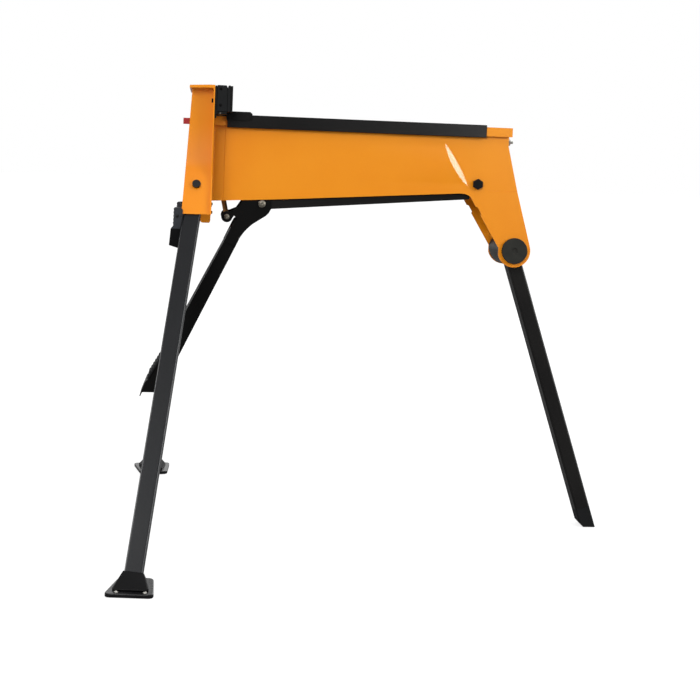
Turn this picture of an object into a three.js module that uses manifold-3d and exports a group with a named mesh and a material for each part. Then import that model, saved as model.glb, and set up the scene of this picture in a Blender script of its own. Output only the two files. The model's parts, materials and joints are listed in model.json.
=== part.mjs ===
// Folding workbench with a foot-operated clamp, in millimetres, +Z up, +X towards the rear leg.
// It stands deployed on two splayed front legs and one rear leg, with the jaws closed and the pedal up.
import * as THREE from "three";
import { mergeVertices } from "three/addons/utils/BufferGeometryUtils.js";
import { ConvexGeometry } from "three/addons/geometries/ConvexGeometry.js";
import Module from "manifold-3d";

const wasm = await Module();
wasm.setup();

// Driving dimensions.
const gap = 0.3; // clearance where two pieces touch
const sheet = 2; // pressed steel of frame and shells
const jawTop = 872; // height of the jaws above the floor
const jawHalf = 118; // half the width of the jaws
const jawAboveSlide = 53; // from the top of the slide to the top of the jaws
const lipThickness = 5;
const padThickness = 19.3; // fixed pad
const movingPadThickness = 5.8;
const jawPlate = 4;
const carriageLength = 40;
const frameRear = 13; // rear face of the front frame
const frameTopFront = -30; // front face of the frame at its top
const frameBottomFront = -43; // front face of the frame at its bottom
const waistHalf = 92; // half width of the frame's upper part
const waistRise = 53.2; // from the leg bolts up to where the side walls start to flare
const frameSkirt = 54.8; // from the leg bolts down to the frame's lower edge
const splay = 25.5; // flare of the side walls and of the front legs, degrees
const legPivotDrop = 190.2; // from the jaw top down to the leg bolts, on the outside of the wall
const legLean = 6.57; // forward lean of the front legs, degrees
const legTube = 32; // front leg tube, square
const legStopGap = 1.86; // from the leg to the panel's lower edge that stops it
const tubeWall = 2;
const tubeCorner = 4; // outer corner radius of the leg tubes
const shellHalf = 48; // outside of the body shells
const beamLength = 592; // rails, from the frame to their rear end
const railDepth = 18;
const railOverhang = 8;
const creaseHeight = 3.4; // pressed crease in the shells' rear
const creaseRise = 230; // its long shallow side
const bandWidth = 23; // front end of the shells, pressed in a little
const bandDepth = 0.8;
const railShow = 53; // rail left bare behind the slide
const slideWall = 2.5;
const slidePlay = 1; // sliding channel to rail
const pedalBack = 99; // pedal pivot behind the frame
const pedalDrop = 168.2; // pedal pivot below the rails' top
const lobeOffset = [-68, -27.5]; // from the pedal pivot to its lobe
const linkVector = [-14.4, 66.5]; // from the pedal's lobe up to the crank's pin
const neckBehind = 15.4; // rear pivot behind the rails' end
const neckDrop = 245; // rear pivot below the rails' top
const neckRadius = 33.5;
const rearLean = 18.4; // rearward lean of the rear leg, degrees
const rearTubeWidth = 30;
const rearTubeDepth = 40;
const footWidth = 84; // foot plate at its outer edge
const footTaper = 12; // its inner edge is shorter by this at either end
const footLength = 90;
const footTurn = 5.5; // outer edge turned a little forward, degrees
const footThickness = 7;
const footOutset = 7; // middle of the foot plate outside the leg's own floor point
const bendRadius = 5; // pressed corners under the top lip
const rimOverhang = 8; // rim beyond the flared walls
const lipOverhang = 5; // top lip in front of the frame
const lipFall = 2; // its front end lies lower by this

// Places that follow from them.
const legPivotHeight = jawTop - legPivotDrop;
const waistHeight = legPivotHeight + waistRise;
const frameBottom = legPivotHeight - frameSkirt;
const slideTop = jawTop - jawAboveSlide;
const shellTop = slideTop - slideWall - slidePlay - 0.5;
const railBottom = shellTop - railDepth;
const railHalf = shellHalf + railOverhang;
const slideHalf = railHalf + slideWall + slidePlay;
const slideBottom = railBottom - slideWall - 0.5;
const beamRear = frameRear + beamLength;
const padBottom = slideTop + 3;
const pedalPivot = [frameRear + pedalBack, shellTop - pedalDrop];
const pedalLobe = [pedalPivot[0] + lobeOffset[0], pedalPivot[1] + lobeOffset[1]];
const neckPivot = [beamRear + neckBehind, shellTop - neckDrop];
const through = 2 * shellHalf; // depth of cuts that go right through

const orange = new THREE.MeshStandardMaterial({ color: 0xe88a1e, metalness: 0.2, roughness: 0.4 });
const black = new THREE.MeshStandardMaterial({ color: 0x1e1d1d, metalness: 0.2, roughness: 0.55 });
const graphite = new THREE.MeshStandardMaterial({ color: 0x323335, metalness: 0.3, roughness: 0.5 });
const rubber = new THREE.MeshStandardMaterial({ color: 0x2c2d2f, metalness: 0, roughness: 0.8 });
const plastic = new THREE.MeshStandardMaterial({ color: 0x1c1c1d, metalness: 0, roughness: 0.6 });
const steel = new THREE.MeshStandardMaterial({ color: 0xb4b4b0, metalness: 0.9, roughness: 0.35 });
const red = new THREE.MeshStandardMaterial({ color: 0xbe2323, metalness: 0, roughness: 0.5 });

const rad = THREE.MathUtils.degToRad;
const bench = new THREE.Group();
bench.name = "bench";

// Solid from a closed geometry, by its positions alone.
function solid(geometry) {
  const bare = new THREE.BufferGeometry();
  const flat = geometry.index ? geometry.toNonIndexed() : geometry;
  bare.setAttribute("position", flat.getAttribute("position"));
  const merged = mergeVertices(bare, 1e-3);
  return new wasm.Manifold(
    new wasm.Mesh({
      numProp: 3,
      vertProperties: new Float32Array(merged.attributes.position.array),
      triVerts: new Uint32Array(merged.index.array),
    }),
  );
}

function place(made, name, material) {
  const mesh = made.getMesh();
  const geometry = new THREE.BufferGeometry();
  const count = mesh.numProp;
  const points = [];
  for (let i = 0; i < mesh.vertProperties.length; i += count) {
    points.push(mesh.vertProperties[i], mesh.vertProperties[i + 1], mesh.vertProperties[i + 2]);
  }
  geometry.setAttribute("position", new THREE.Float32BufferAttribute(points, 3));
  geometry.setIndex(Array.from(mesh.triVerts));
  const faceted = geometry.toNonIndexed();
  faceted.computeVertexNormals();
  const node = new THREE.Mesh(faceted, material);
  node.name = name;
  bench.add(node);
  return node;
}

function block(x0, x1, y0, y1, z0, z1) {
  const box = new THREE.BoxGeometry(x1 - x0, y1 - y0, z1 - z0);
  box.translate((x0 + x1) / 2, (y0 + y1) / 2, (z0 + z1) / 2);
  return solid(box);
}

function outline(points) {
  return new THREE.Shape(points.map((p) => new THREE.Vector2(p[0], p[1])));
}

// Outline in X and Z, drawn out along Y.
function alongY(points, y0, y1) {
  const shape = Array.isArray(points) ? outline(points) : points;
  const body = new THREE.ExtrudeGeometry(shape, { depth: y1 - y0, bevelEnabled: false, curveSegments: 10 });
  body.rotateX(Math.PI / 2);
  body.translate(0, y1, 0);
  return solid(body);
}

// Outline in Y and Z, drawn out along X.
function alongX(points, x0, x1) {
  const body = new THREE.ExtrudeGeometry(outline(points), { depth: x1 - x0, bevelEnabled: false });
  const turn = new THREE.Matrix4().makeBasis(
    new THREE.Vector3(0, 1, 0),
    new THREE.Vector3(0, 0, 1),
    new THREE.Vector3(1, 0, 0),
  );
  body.applyMatrix4(turn);
  body.translate(x0, 0, 0);
  return solid(body);
}

function alongZ(shape, z0, z1) {
  const body = new THREE.ExtrudeGeometry(shape, { depth: z1 - z0, bevelEnabled: false, curveSegments: 4 });
  body.translate(0, 0, z0);
  return solid(body);
}

// Rectangle with round corners, about its own middle or about a given one.
function rounded(halfX, halfY, r, x = 0, y = 0) {
  const shape = new THREE.Shape();
  shape.moveTo(x - halfX + r, y - halfY);
  shape.lineTo(x + halfX - r, y - halfY);
  shape.absarc(x + halfX - r, y - halfY + r, r, -Math.PI / 2, 0, false);
  shape.lineTo(x + halfX, y + halfY - r);
  shape.absarc(x + halfX - r, y + halfY - r, r, 0, Math.PI / 2, false);
  shape.lineTo(x - halfX + r, y + halfY);
  shape.absarc(x - halfX + r, y + halfY - r, r, Math.PI / 2, Math.PI, false);
  shape.lineTo(x - halfX, y - halfY + r);
  shape.absarc(x - halfX + r, y - halfY + r, r, Math.PI, 1.5 * Math.PI, false);
  return shape;
}

// Round bar between two points.
function bar(from, to, radius, sides = 24) {
  const a = new THREE.Vector3(...from);
  const b = new THREE.Vector3(...to);
  const way = b.clone().sub(a);
  const body = new THREE.CylinderGeometry(radius, radius, way.length(), sides);
  body.translate(0, way.length() / 2, 0);
  const upright = new THREE.Vector3(0, 1, 0);
  body.applyQuaternion(new THREE.Quaternion().setFromUnitVectors(upright, way.normalize()));
  body.translate(a.x, a.y, a.z);
  return solid(body);
}

// Round bar along Y at a place in X and Z.
function barY(at, y0, y1, radius, sides = 24) {
  return bar([at[0], y0, at[1]], [at[0], y1, at[1]], radius, sides);
}

// Running hole along Y, right through, for a bar of that radius.
function boreY(at, radius) {
  return barY(at, -through, through, radius + gap, radius < 4 ? 16 : 24);
}

// Bar with domed or six-sided ends, along Y and the same on both sides.
function boltY(at, half, radius, headRadius, headHeight, sides) {
  const shank = barY(at, -half - 1, half + 1, radius);
  const near = barY(at, -half - headHeight, -half, headRadius, sides);
  const far = barY(at, half, half + headHeight, headRadius, sides);
  return shank.add(near).add(far);
}

function hull(points) {
  return solid(new ConvexGeometry(points.map((p) => new THREE.Vector3(...p))));
}

function joined(list) {
  return list.reduce((all, one) => all.add(one));
}

// Plate outline wrapped round two or more discs, as a convex outline in X and Z.
function wrapped(discs, y0, y1) {
  const points = [];
  for (const [x, z, r] of discs) {
    for (let i = 0; i < 20; i += 1) {
      const turn = (i / 20) * 2 * Math.PI;
      const px = x + r * Math.cos(turn);
      const pz = z + r * Math.sin(turn);
      points.push([px, y0, pz], [px, y1, pz]);
    }
  }
  return hull(points);
}

// Both sides of a piece that is the same on the near and the far side.
function bothSides(make) {
  return make(-1).add(make(1));
}

function span(side, a, b) {
  return side < 0 ? [-b, -a] : [a, b];
}

// Front frame: a pressed channel, open to the rear and below, with a top lip and a rim on its rear edge.
const flare = Math.tan(rad(splay));
const bottomHalf = waistHalf + (waistHeight - frameBottom) * flare;
const frameTop = jawTop - lipThickness;
function frameFace(half, top, bottom) {
  const low = half + (waistHeight - bottom) * flare;
  return [
    [-half, top],
    [-low, bottom],
    [low, bottom],
    [half, top],
  ].flatMap((p, i) => (i === 0 ? [p, [-half, waistHeight]] : i === 3 ? [[half, waistHeight], p] : [p]));
}
const wallAcross = sheet / Math.cos(rad(splay));
const frontSlope = (frameTopFront - frameBottomFront) / (frameTop - frameBottom);
const panelFront = (z) => frameBottomFront + (z - frameBottom) * frontSlope;
const panelBack = (z) => panelFront(z) + sheet + 0.5;
function frameDepth(front, rear, bottom) {
  return alongY(
    [
      [front(frameTop), frameTop],
      [front(bottom), bottom],
      [rear, bottom],
      [rear, frameTop],
    ],
    -2 * jawHalf,
    2 * jawHalf,
  );
}
let frame = alongX(frameFace(waistHalf, frameTop, frameBottom), frameBottomFront - 20, frameRear).intersect(
  frameDepth(panelFront, frameRear, frameBottom),
);
const below = frameBottom - 20;
const hollow = alongX(
  frameFace(waistHalf - wallAcross, frameTop, below),
  frameBottomFront - 20,
  frameRear + 20,
).intersect(frameDepth(panelBack, frameRear + 20, below));
frame = frame.subtract(hollow);
const rimKnee = waistHeight - (jawHalf - waistHalf - rimOverhang) / flare;
const rim = bothSides((side) => {
  const edge = [
    [side * (waistHalf - sheet), frameTop],
    [side * (waistHalf - sheet), waistHeight],
    [side * (bottomHalf - sheet), frameBottom],
    [side * (bottomHalf + rimOverhang), frameBottom],
    [side * jawHalf, rimKnee],
    [side * jawHalf, frameTop],
  ];
  return alongX(side < 0 ? edge : edge.reverse(), frameRear - 2.5, frameRear);
});
const jawBack = block(frameRear - 2.5, frameRear, -jawHalf, jawHalf, padBottom, frameTop);
const lipFront = frameTopFront - lipOverhang;
const topLip = alongY(
  [
    [lipFront, frameTop - lipFall],
    [frameRear, frameTop - 0.01],
    [frameRear, jawTop],
    [frameRear - 10, jawTop],
    [lipFront, jawTop - lipFall],
  ],
  -jawHalf,
  jawHalf,
);
// Pressed corners where the walls and the rim run out into the top lip.
function hollowCorner(a, b, wayA, wayB) {
  const points = [[a - wayA, b + 0.01]];
  for (let i = 0; i <= 6; i += 1) {
    const turn = (i / 6) * (Math.PI / 2);
    points.push([a + wayA * bendRadius * (1 - Math.sin(turn)), b + wayB * bendRadius * (1 - Math.cos(turn))]);
  }
  return points;
}
const corners = bothSides((side) => {
  const wallCorner = hollowCorner(side * waistHalf, frameTop, side, -1);
  const rimCorner = hollowCorner(frameRear - 2.5, frameTop, -1, -1);
  const [y0, y1] = span(side, waistHalf - 0.5, jawHalf);
  return alongX(wallCorner, frameTopFront, frameRear - 1).add(alongY(rimCorner, y0, y1));
});
const frontCorner = alongY(hollowCorner(frameTopFront, frameTop - 1.5, -1, -1), -waistHalf + 1, waistHalf - 1);
frame = joined([frame, rim, jawBack, topLip, corners, frontCorner]);
// Slot for the lock switch, holes for the leg bolts and lugs for the leg catches.
const switchDrop = 68;
const switchHeight = jawTop - switchDrop;
frame = frame.subtract(
  block(frameBottomFront - 20, frameTopFront + 15, -9, 9, switchHeight - 12, switchHeight + 12),
);
for (const side of [-1, 1]) {
  const [y0, y1] = span(side, waistHalf - 6, waistHalf + 6);
  const slotHeight = jawTop - 29;
  frame = frame.subtract(block(frameRear - 6, frameRear - 2.8, y0, y1, slotHeight - 4, slotHeight + 4));
}
const splayNormal = (side) => new THREE.Vector3(0, side * Math.cos(rad(splay)), Math.sin(rad(splay)));
const wallHalf = waistHalf + (waistHeight - legPivotHeight) * flare;
const half = legTube / 2;
const washerRoom = 1.2;
const legCentreHeight = legPivotHeight - (sheet + washerRoom + half) * Math.sin(rad(splay));
const legShift = (z) => ((legCentreHeight - z) * Math.tan(rad(legLean))) / Math.cos(rad(splay));
const legPivotX = panelBack(frameBottom) + legStopGap + half / Math.cos(rad(legLean)) + legShift(frameBottom);
const wallPoint = (side) => new THREE.Vector3(legPivotX, side * wallHalf, legPivotHeight);
const along = (point, way, far) => point.clone().addScaledVector(way, far);
const boltRadius = 5;
for (const side of [-1, 1]) {
  const from = along(wallPoint(side), splayNormal(side), -8);
  const to = along(wallPoint(side), splayNormal(side), 8);
  frame = frame.subtract(bar(from.toArray(), to.toArray(), boltRadius + gap));
}
const catchHalf = 14;
const catchCentre = bottomHalf - catchHalf + 2.5;
const catchPin = [frameBottomFront - 7, frameBottom - 5];
const lugHalf = 1.5;
const lugTip = 5;
for (const side of [-1, 1]) {
  const lug = alongY(
    [
      [panelFront(frameBottom + 9) + 1, frameBottom + 9],
      [catchPin[0] - 0.7 * lugTip, catchPin[1] + 0.7 * lugTip],
      [catchPin[0] - lugTip, catchPin[1]],
      [catchPin[0] - 0.7 * lugTip, catchPin[1] - 0.7 * lugTip],
      [catchPin[0], catchPin[1] - lugTip],
      [panelFront(frameBottom + 1) + 1, frameBottom + 1],
    ],
    side * catchCentre - lugHalf,
    side * catchCentre + lugHalf,
  );
  frame = frame.add(lug);
  frame = frame.subtract(barY(catchPin, side * catchCentre - 20, side * catchCentre + 20, 2.5 + gap, 16));
}
place(frame, "front_frame", orange);

// Fixed jaw: backing plate with a ledge below, and the pad with a relieved top edge.
const jawPlateRear = frameRear + jawPlate;
const padFace = jawPlateRear + gap + padThickness;
let fixedPlate = block(frameRear + gap, jawPlateRear, -jawHalf + 1, jawHalf - 1, padBottom - 12, jawTop - 1);
const ledgeBottom = slideTop - 2;
fixedPlate = fixedPlate.subtract(
  block(frameRear - 10, padFace + 20, -railHalf - 8, railHalf + 8, padBottom - 40, ledgeBottom),
);
fixedPlate = fixedPlate.add(
  block(frameRear + gap, padFace, -jawHalf + 1, jawHalf - 1, ledgeBottom, padBottom - gap),
);
place(fixedPlate, "fixed_jaw_plate", black);
const fixedPad = alongY(
  [
    [jawPlateRear + gap, padBottom],
    [padFace, padBottom],
    [padFace, jawTop - 4],
    [padFace - 2, jawTop],
    [jawPlateRear + gap, jawTop],
  ],
  -jawHalf + 1,
  jawHalf - 1,
);
place(fixedPad, "fixed_jaw_pad", rubber);

// Moving jaw on the front of the sliding channel.
const movingFace = padFace + gap;
const movingBack = movingFace + movingPadThickness + gap + jawPlate;
const movingPad = alongY(
  [
    [movingFace, padBottom],
    [movingBack - jawPlate - gap, padBottom],
    [movingBack - jawPlate - gap, jawTop],
    [movingFace + 1.6, jawTop],
    [movingFace, jawTop - 4],
  ],
  -jawHalf + 1,
  jawHalf - 1,
);
place(movingPad, "moving_jaw_pad", rubber);
const carriageRear = movingBack + carriageLength;
let carriage = block(movingBack - jawPlate, movingBack, -jawHalf + 1, jawHalf - 1, padBottom - 1, jawTop - 1);
carriage = carriage.add(
  alongY(
    [
      [movingFace, slideTop + gap],
      [carriageRear, slideTop + gap],
      [carriageRear, slideTop + 2.5],
      [carriageRear - 4, padBottom + 3],
      [movingBack - jawPlate, padBottom + 3],
      [movingBack - jawPlate, padBottom - gap],
      [movingFace, padBottom - gap],
    ],
    -slideHalf - 3.5,
    slideHalf + 3.5,
  ),
);
carriage = carriage.add(
  bothSides((side) => {
    const [y0, y1] = span(side, slideHalf + gap, slideHalf + 3.5);
    return alongY(
      [
        [movingFace, slideTop - 11],
        [carriageRear - 6, slideTop - 11],
        [carriageRear, slideTop - 6],
        [carriageRear, slideTop + 1],
        [movingFace, slideTop + 1],
      ],
      y0,
      y1,
    );
  }),
);
place(carriage, "moving_jaw_plate", black);

// Sliding channel that wraps the rails, and the bar hung below it.
const slideFront = padFace + 2;
const slideRear = beamRear - railShow;
const lipEdge = shellHalf + 1;
const channel = alongX(
  [
    [-slideHalf, slideBottom],
    [-lipEdge, slideBottom],
    [-lipEdge, slideBottom + slideWall],
    [-slideHalf + slideWall, slideBottom + slideWall],
    [-slideHalf + slideWall, slideTop - slideWall],
    [slideHalf - slideWall, slideTop - slideWall],
    [slideHalf - slideWall, slideBottom + slideWall],
    [lipEdge, slideBottom + slideWall],
    [lipEdge, slideBottom],
    [slideHalf, slideBottom],
    [slideHalf, slideTop],
    [-slideHalf, slideTop],
  ],
  slideFront,
  slideRear,
);
place(channel, "slide_channel", black);
const barTop = slideBottom + 2;
const barBottom = barTop - 16;
const barHalf = 12;
let slideBar = block(slideFront + 6, slideRear - 8, -barHalf, barHalf, barBottom, barTop);
for (const x of [slideFront + 6, slideRear - 38]) {
  slideBar = slideBar.add(block(x, x + 30, -barHalf, barHalf, barBottom, slideTop - slideWall - gap));
}
place(slideBar, "slide_bar", steel);

// Body shells with rails along the top and a gooseneck down to the rear pivot.
const kneeX = frameRear + 132; // where the lower edge changes slope
const throatX = beamRear - 100;
const toePoint = [frameRear, shellTop - 165.5];
const kneePoint = [kneeX, shellTop - 158.2];
const throatPoint = [throatX, shellTop - 133.7];
const shellBack = beamRear - 5.2; // upper rear edge
const bendPoint = [neckPivot[0] + 1.4, shellTop - 126.3]; // where the rear edge changes slope
const neckStart = rad(196);
const neckTop = [beamRear - 74, shellTop - 147];
const neckFoot = [
  neckPivot[0] + neckRadius * Math.cos(neckStart),
  neckPivot[1] + neckRadius * Math.sin(neckStart) + 14,
];
// Place on the gooseneck's front edge, by its share of the way down and how far inside.
function onNeck(share, inside) {
  const way = new THREE.Vector2(neckFoot[0] - neckTop[0], neckFoot[1] - neckTop[1]);
  const across = new THREE.Vector2(-way.y, way.x).normalize().multiplyScalar(inside);
  return [neckTop[0] + way.x * share + across.x, neckTop[1] + way.y * share + across.y];
}
function shellOutline() {
  const shape = new THREE.Shape();
  const tabRear = frameRear - 1;
  const tabFront = frameRear - 21;
  const tabFoot = frameBottom - 21;
  const frontFoot = frameBottom + 23;
  shape.moveTo(panelBack(shellTop) + gap, shellTop);
  shape.lineTo(panelBack(frontFoot) + gap, frontFoot);
  shape.lineTo(tabFront, frontFoot);
  shape.lineTo(tabFront, tabFoot + 5);
  shape.quadraticCurveTo(tabFront + 1, tabFoot, tabFront + 6, tabFoot);
  shape.lineTo(tabRear - 4, tabFoot);
  shape.quadraticCurveTo(tabRear, tabFoot, tabRear, tabFoot + 6);
  shape.lineTo(...toePoint);
  shape.lineTo(...kneePoint);
  shape.lineTo(...throatPoint);
  shape.quadraticCurveTo(neckTop[0] - 5, neckTop[1] + 14, ...neckTop);
  // A shallow notch in the gooseneck's front edge.
  shape.lineTo(...onNeck(0.13, 0));
  shape.lineTo(...onNeck(0.16, 3));
  shape.lineTo(...onNeck(0.29, 3));
  shape.lineTo(...onNeck(0.31, 0));
  shape.lineTo(...neckFoot);
  shape.absarc(neckPivot[0], neckPivot[1], neckRadius, neckStart, rad(375), false);
  shape.lineTo(...bendPoint);
  shape.lineTo(shellBack, shellTop - 37);
  shape.lineTo(shellBack, railBottom);
  shape.lineTo(beamRear, railBottom);
  shape.lineTo(beamRear, shellTop);
  return shape;
}
// Pressed crease: a lens-shaped face that leans rearwards at the end of a long shallow rise.
function pressedCrease(side) {
  const upper = new THREE.Vector2(throatX - 34.4, railBottom - 16);
  const lower = new THREE.Vector2(throatX + 16.2, throatPoint[1] + 14.4);
  const ahead = lower.clone().sub(upper).normalize();
  ahead.set(ahead.y, -ahead.x);
  const wall = side * (shellHalf - 0.05);
  const points = [];
  const steps = 8;
  for (let i = 0; i <= steps; i += 1) {
    const bow = 4 * (i / steps) * (1 - i / steps);
    const ridge = upper.clone().lerp(lower, i / steps).addScaledVector(ahead, 8.5 * bow);
    const foot = upper.clone().lerp(lower, i / steps).addScaledVector(ahead, -3.5 * bow);
    points.push([ridge.x, wall + side * creaseHeight * bow, ridge.y], [foot.x, wall, foot.y]);
  }
  for (const y of [wall, wall - side]) {
    points.push([upper.x - creaseRise, y, upper.y - 12], [lower.x - creaseRise, y, lower.y + 6]);
    points.push([upper.x, y, upper.y], [lower.x, y, lower.y]);
  }
  return hull(points);
}
const shellInner = shellHalf - sheet;
const crossBolt = [beamRear - 65, shellTop - 114];
for (const side of [-1, 1]) {
  const [y0, y1] = span(side, shellInner, shellHalf);
  let shell = alongY(shellOutline(), y0, y1);
  const [f0, f1] = span(side, shellHalf - 0.5, railHalf);
  const [l0, l1] = span(side, railHalf - sheet, railHalf);
  shell = shell.add(block(frameRear + 1, beamRear, f0, f1, shellTop - sheet, shellTop));
  shell = shell.add(block(frameRear + 1, beamRear, l0, l1, railBottom, shellTop - 1));
  shell = shell.add(pressedCrease(side));
  const [b0, b1] = span(side, shellHalf - bandDepth, shellHalf + 5);
  shell = shell.subtract(
    block(frameRear + 2, frameRear + bandWidth, b0, b1, toePoint[1] - 20, railBottom),
  );
  // Pressed line across the gooseneck, level with the bend in its rear edge.
  const [g0, g1] = span(side, shellHalf - 0.5, shellHalf + 5);
  shell = shell.subtract(
    block(beamRear - 44, bendPoint[0] + 5, g0, g1, bendPoint[1] - 0.6, bendPoint[1] + 0.6),
  );
  shell = shell.subtract(barY(neckPivot, y0 - 5, y1 + 5, 7 + gap));
  shell = shell.subtract(barY(crossBolt, y0 - 5, y1 + 5, 4 + gap));
  place(shell, side < 0 ? "body_shell_near" : "body_shell_far", orange);
}
const coverHalf = shellInner - gap;
const coverBack = shellBack - 0.4;
const coverFoot = [neckPivot[0] + 18.6, neckPivot[1] + 48];
let cover = alongY(
  [
    [coverBack - sheet, railBottom - 1],
    [coverBack - sheet, shellTop - 37],
    [bendPoint[0] - 0.4 - sheet, bendPoint[1] - 0.3],
    [coverFoot[0] - sheet, coverFoot[1]],
    coverFoot,
    [bendPoint[0] - 0.4, bendPoint[1] + 0.1],
    [coverBack, shellTop - 36.8],
    [coverBack, railBottom - 1],
  ],
  -coverHalf,
  coverHalf,
);
// Notch that lets the slide bar pass, and a screw on either side of it.
cover = cover.subtract(
  block(coverBack - 9, coverBack + 9, -barHalf - 2, barHalf + 2, barBottom - 2, railBottom + 5),
);
const screwHeight = railBottom - 10;
for (const side of [-1, 1]) {
  const y = side * (barHalf + 22);
  const at = (x) => [coverBack + x, y, screwHeight];
  cover = cover.subtract(bar(at(-9), at(9), 3 + gap, 16));
  const screw = bar(at(-11), at(11.4), 3, 16).add(bar(at(gap), at(5.6), 7.5, 6));
  place(screw, side < 0 ? "rear_cover_screw" : "rear_cover_screw_far", steel);
}
place(cover, "rear_cover", orange);
place(boltY(crossBolt, shellHalf + gap, 4, 11, 7, 6), "shell_cross_bolt", black);
const spacer = barY(crossBolt, -coverHalf, coverHalf, 9).subtract(boreY(crossBolt, 4));
place(spacer, "shell_spacer", steel);

// Inner spine: a channel below the shells that carries the pedal and the crank.
const spineHalf = shellInner - 3.5;
const spineFoot = (x) => kneePoint[1] - 18.4 + (x - kneeX - 1.8) * 0.0833;
const crankPivot = [pedalPivot[0] + linkVector[0], pedalPivot[1] + linkVector[1]];
const spineFront = pedalPivot[0] - 34;
const spineRear = beamRear - 79;
const webFront = spineFront + 112;
let spine = bothSides((side) => {
  const [y0, y1] = span(side, spineHalf - 2, spineHalf);
  const wall = alongY(
    [
      [spineFront, spineFoot(spineFront)],
      [spineRear, spineFoot(spineRear)],
      [spineRear, throatPoint[1] + 18.7],
      [crankPivot[0] + 62.4, kneePoint[1] + 33.2],
      [crankPivot[0] + 24.4, crankPivot[1] + 14.7],
      [spineFront, crankPivot[1] + 14.7],
    ],
    y0,
    y1,
  );
  const [b0, b1] = span(side, spineHalf - 0.5, coverHalf);
  const frontBoss = [frameRear + 237, kneePoint[1] + 15.2];
  const rearBoss = [throatX - 15, throatPoint[1] + 6.7];
  return joined([wall, barY(frontBoss, b0, b1, 9), barY(rearBoss, b0, b1, 8)]);
});
spine = spine.add(
  alongY(
    [
      [webFront, spineFoot(webFront)],
      [spineRear, spineFoot(spineRear)],
      [spineRear, spineFoot(spineRear) + sheet],
      [webFront, spineFoot(webFront) + sheet],
    ],
    -spineHalf + 1,
    spineHalf - 1,
  ),
);
spine = spine.subtract(boreY(pedalPivot, 6)).subtract(boreY(crankPivot, 5));
place(spine, "spine_channel", black);

// Pedal: two side plates with a lobe each, a folded arm and a tread.
const plateIn = spineHalf + 0.4;
const plateOut = plateIn + 2.8;
const fromPedal = (x, z) => [pedalPivot[0] + x, pedalPivot[1] + z];
const pedalPlates = bothSides((side) => {
  const [y0, y1] = span(side, plateIn, plateOut);
  const body = new THREE.Shape();
  body.moveTo(...fromPedal(-34, 10.5));
  body.lineTo(...fromPedal(-48.8, -11.5));
  body.lineTo(...fromPedal(-57.5, -15.2));
  body.lineTo(pedalLobe[0] + 5, pedalLobe[1] + 9.8);
  body.lineTo(pedalLobe[0] + 2, pedalLobe[1]);
  body.lineTo(pedalLobe[0] + 6.5, pedalLobe[1] - 8.8);
  body.lineTo(...fromPedal(-54, -25.2));
  body.lineTo(...fromPedal(-46.7, -31.4));
  body.lineTo(...fromPedal(-51.4, -33.2));
  body.lineTo(...fromPedal(-53.7, -36.4));
  body.lineTo(...fromPedal(-72, -75.8));
  body.lineTo(...fromPedal(-49, -85.8));
  body.quadraticCurveTo(...fromPedal(-40, -58.8), ...fromPedal(-16, -39.8));
  body.quadraticCurveTo(...fromPedal(-2, -30.5), ...fromPedal(8, -24));
  body.lineTo(...fromPedal(14, -18));
  body.lineTo(...fromPedal(19, -8));
  body.lineTo(...fromPedal(17, 10));
  body.lineTo(...fromPedal(-12, 12));
  return barY(pedalLobe, y0, y1, 11, 28).add(alongY(body, y0, y1)).add(barY(pedalPivot, y0, y1, 15));
});
// Left and right edges of the arm, by how far below the pivot.
const armLeft = (z) => fromPedal(-71 + (z + 75.1) * 0.504, z);
const armRight = (z) => fromPedal(-49.2 + (z + 85.9) * 0.4735, z);
const treadDepth = 3.2; // tread, let into the arm
const treadTop = [armLeft(-302.5)[0] + treadDepth - 0.2, armLeft(-302.5)[1]];
const treadFoot = [armLeft(-354)[0] - 0.4, armLeft(-354)[1]];
const toeTip = fromPedal(-224.4, -377.8);
const armHalf = plateIn + 0.3;
const armWall = 2.4;
let arm = alongY(
  [
    armLeft(-50.8),
    armLeft(-301),
    treadTop,
    treadFoot,
    [treadFoot[0] - 4.6, treadFoot[1] - 3],
    toeTip,
    [toeTip[0] - 3.2, toeTip[1] - 9],
    [toeTip[0] - 1.4, toeTip[1] - 9],
    [toeTip[0] + 2.2, toeTip[1] - 1],
    fromPedal(-196, -378.8),
    fromPedal(-174, -346.8),
    armRight(-326.8),
    armRight(-71.8),
  ],
  -armHalf,
  armHalf,
);
const armHollow = alongY(
  [
    [armLeft(-26.8)[0] + 3, armLeft(-26.8)[1]],
    [treadTop[0] + 3, treadTop[1]],
    [treadFoot[0] + 3.4, treadFoot[1]],
    [treadFoot[0] - 1.4, treadFoot[1] - 4.6],
    [toeTip[0] + 3, toeTip[1] - 1.2],
    [toeTip[0] + 3, toeTip[1] - 12],
    fromPedal(-152, -389.8),
    fromPedal(-52, -316.8),
    fromPedal(48, -26.8),
  ],
  -armHalf + armWall,
  armHalf - armWall,
);
arm = arm.subtract(armHollow);
let pedal = pedalPlates.add(arm);
pedal = pedal.subtract(boreY(pedalPivot, 6)).subtract(boreY(pedalLobe, 4));
place(pedal, "pedal_lever", black);
const treadSlope = Math.atan2(treadTop[1] - treadFoot[1], treadTop[0] - treadFoot[0]);
const treadOut = (p, far) => [p[0] - far * Math.sin(treadSlope), p[1] + far * Math.cos(treadSlope)];
const onTread = (share) => [
  treadFoot[0] + (treadTop[0] - treadFoot[0]) * share,
  treadFoot[1] + (treadTop[1] - treadFoot[1]) * share,
];
const tread = alongY(
  [
    treadOut(onTread(0.03), gap),
    treadOut(onTread(0.95), gap),
    treadOut(onTread(0.95), treadDepth),
    treadOut(onTread(0.03), treadDepth),
  ],
  -armHalf - 4.8,
  armHalf + 4.8,
);
place(tread, "pedal_tread", rubber);
place(boltY(pedalPivot, plateOut + gap, 6, 7.3, 4, 24), "pedal_pivot_bolt", steel);
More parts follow.
